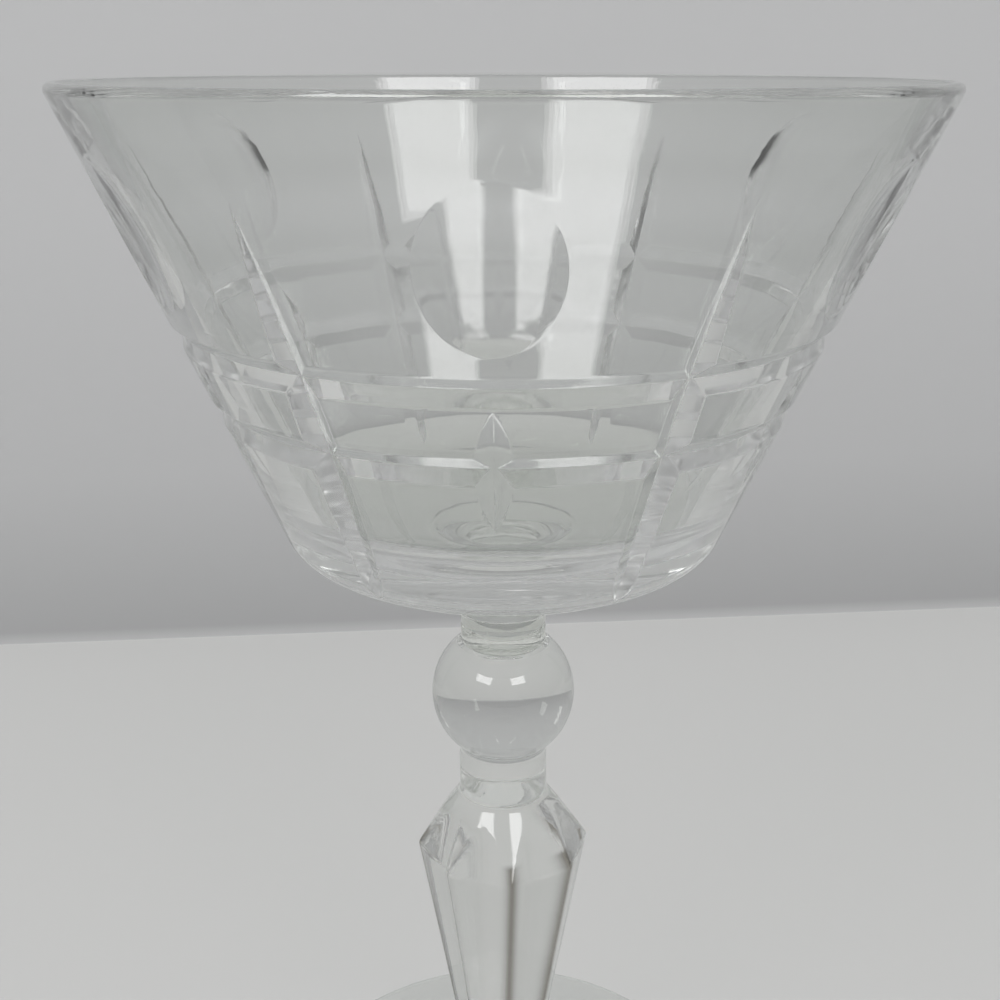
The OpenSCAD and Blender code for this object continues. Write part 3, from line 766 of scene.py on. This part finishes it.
def backdropMaterial(name, look):
    # painted shade: darkest just above a blurred foot by the table and lighter upwards; it fades out at both ends and
    # is seen only from in front
    m = plainMaterial(name, look["table"], look["backRough"])
    tree = m.node_tree
    body = tree.nodes["Principled BSDF"]
    split = addNode(tree, "ShaderNodeSeparateXYZ")
    tree.links.new(addNode(tree, "ShaderNodeTexCoord").outputs["Object"], split.inputs[0])
    shade = addNode(tree, "ShaderNodeValToRGB")
    stops = shade.color_ramp.elements
    top = look["backShadeStops"][-1][0]
    for height, grey in look["backShadeStops"]:
        stop = stops[0] if height == 0 else stops[-1] if height == top else stops.new(height / top)
        stop.color = (*(grey * tint for tint in look["backTint"]), 1)
    tree.links.new(mathNode(tree, "DIVIDE", split.outputs["Z"], top * mm), shade.inputs[0])
    tree.links.new(shade.outputs[0], body.inputs["Base Color"])
    fade = addNode(tree, "ShaderNodeMapRange", dict(interpolation_type="SMOOTHSTEP"),
                   {"From Min": look["backEven"] * mm, "From Max": look["backHalf"] * mm})
    tree.links.new(mathNode(tree, "ABSOLUTE", split.outputs["X"]), fade.inputs["Value"])
    behind = addNode(tree, "ShaderNodeNewGeometry").outputs["Backfacing"]
    mix = addNode(tree, "ShaderNodeMixShader")
    tree.links.new(mathNode(tree, "MAXIMUM", fade.outputs[0], behind), mix.inputs[0])
    tree.links.new(body.outputs[0], mix.inputs[1])
    tree.links.new(addNode(tree, "ShaderNodeBsdfTransparent").outputs[0], mix.inputs[2])
    tree.links.new(mix.outputs[0], tree.nodes["Material Output"].inputs["Surface"])
    return m


def sheetObject(name, corners, material):
    # a flat sheet that belongs to the stage
    mesh = bpy.data.meshes.new(name)
    mesh.from_pydata([tuple(v * mm for v in p) for p in corners], [], [(0, 1, 2, 3)])
    mesh.materials.append(material)
    obj = bpy.data.objects.new(name, mesh)
    scene.collection.objects.link(obj)


cameraSetup = dict(focalPixels=1300.0, axisPixel=503.5, turn=1.5, distance=146.2, height=144.23, tilt=18.81)
tablePaint = plainMaterial("paleTable", stageSetup["table"], stageSetup["tableRough"])
backPaint = backdropMaterial("greyBackdrop", stageSetup)
far = stageSetup["tableHalf"]
sheetObject("tableTop", [(-far, -far, 0), (far, -far, 0), (far, far, 0), (-far, far, 0)], tablePaint)
turn = math.radians(cameraSetup["turn"])
ahead, right = np.array([-math.sin(turn), math.cos(turn), 0]), np.array([math.cos(turn), math.sin(turn), 0])
lift = np.array([0, 0, stageSetup["backTall"]])
middle, along = stageSetup["backAway"] * ahead, stageSetup["backHalf"] * (right + stageSetup["backTurn"] * ahead)
sheetObject("backdropSheet", [middle - along, middle + along, middle + along + lift, middle - along + lift],
            backPaint)

# the room grows lighter from the horizon to the ceiling; the camera itself sees an even grey there
world = bpy.data.worlds.new("studioWorld")
scene.world = world
world.use_nodes = True
tree = world.node_tree
room = tree.nodes["Background"]
split = addNode(tree, "ShaderNodeSeparateXYZ")
tree.links.new(addNode(tree, "ShaderNodeTexCoord").outputs["Generated"], split.inputs[0])
height = addNode(tree, "ShaderNodeMapRange", dict(interpolation_type="SMOOTHSTEP"),
                 {"From Min": 0.0, "From Max": 0.65})
tree.links.new(split.outputs["Z"], height.inputs["Value"])
shade = addNode(tree, "ShaderNodeMix", dict(data_type="RGBA"))
shade.inputs[6].default_value, shade.inputs[7].default_value = (*stageSetup["horizon"], 1), (*stageSetup["zenith"], 1)
tree.links.new(height.outputs[0], shade.inputs[0])
tree.links.new(shade.outputs[2], room.inputs["Color"])
beyond = addNode(tree, "ShaderNodeBackground", None, dict(Color=(*stageSetup["beyond"], 1)))
mix = addNode(tree, "ShaderNodeMixShader")
tree.links.new(addNode(tree, "ShaderNodeLightPath").outputs["Is Camera Ray"], mix.inputs[0])
tree.links.new(room.outputs[0], mix.inputs[1])
tree.links.new(beyond.outputs[0], mix.inputs[2])
tree.links.new(mix.outputs[0], tree.nodes["World Output"].inputs["Surface"])


def softLamp(name, turn, lift, away, wide, tall, power):
    # an area lamp on a sphere round the bowl, facing it
    a, e = math.radians(turn), math.radians(lift)
    lamp = bpy.data.lights.new(name, "AREA")
    lamp.shape = "RECTANGLE"
    lamp.size, lamp.size_y = wide * mm, tall * mm
    lamp.energy = power
    obj = bpy.data.objects.new(name, lamp)
    scene.collection.objects.link(obj)
    obj.location = (away * mm * math.sin(a) * math.cos(e), -away * mm * math.cos(a) * math.cos(e),
                    (stageSetup["lampAim"] + away * math.sin(e)) * mm)
    obj.rotation_euler = (math.pi / 2 - e, 0, a)
    return obj


# each window twice: bright, in panes of three widths so that its sides are soft, for what the polished
# glass mirrors, and dimmer for what the cuts gather
for side in ("leftWindow", "rightWindow"):
    pane = stageSetup[side]
    for i, share in enumerate(stageSetup["paneWidths"]):
        strip = dict(pane, away=pane["away"] + stageSetup["paneStep"] * i, wide=pane["wide"] * share,
                     power=pane["power"] * share / len(stageSetup["paneWidths"]))
        softLamp(side, **strip).visible_transmission = False
    softLamp(side + "Dim", **dict(pane, power=pane["power"] * stageSetup["seenThrough"])).visible_glossy = False

# Camera: the photograph's place, a little above the rim and close to it
camData = bpy.data.cameras.new("photoCamera")
camData.sensor_width = 36.0
camData.lens = cameraSetup["focalPixels"] / 1000.0 * 36.0
camData.clip_start = 0.005
cam = bpy.data.objects.new("photoCamera", camData)
scene.collection.objects.link(cam)
cam.location = (cameraSetup["distance"] * mm * math.sin(turn), -cameraSetup["distance"] * mm * math.cos(turn),
                cameraSetup["height"] * mm)
aim = math.atan((cameraSetup["axisPixel"] - 500.0) / cameraSetup["focalPixels"])
cam.rotation_euler = (math.pi / 2 - math.radians(cameraSetup["tilt"]), 0, turn + aim)
scene.camera = cam
print("stage ready")
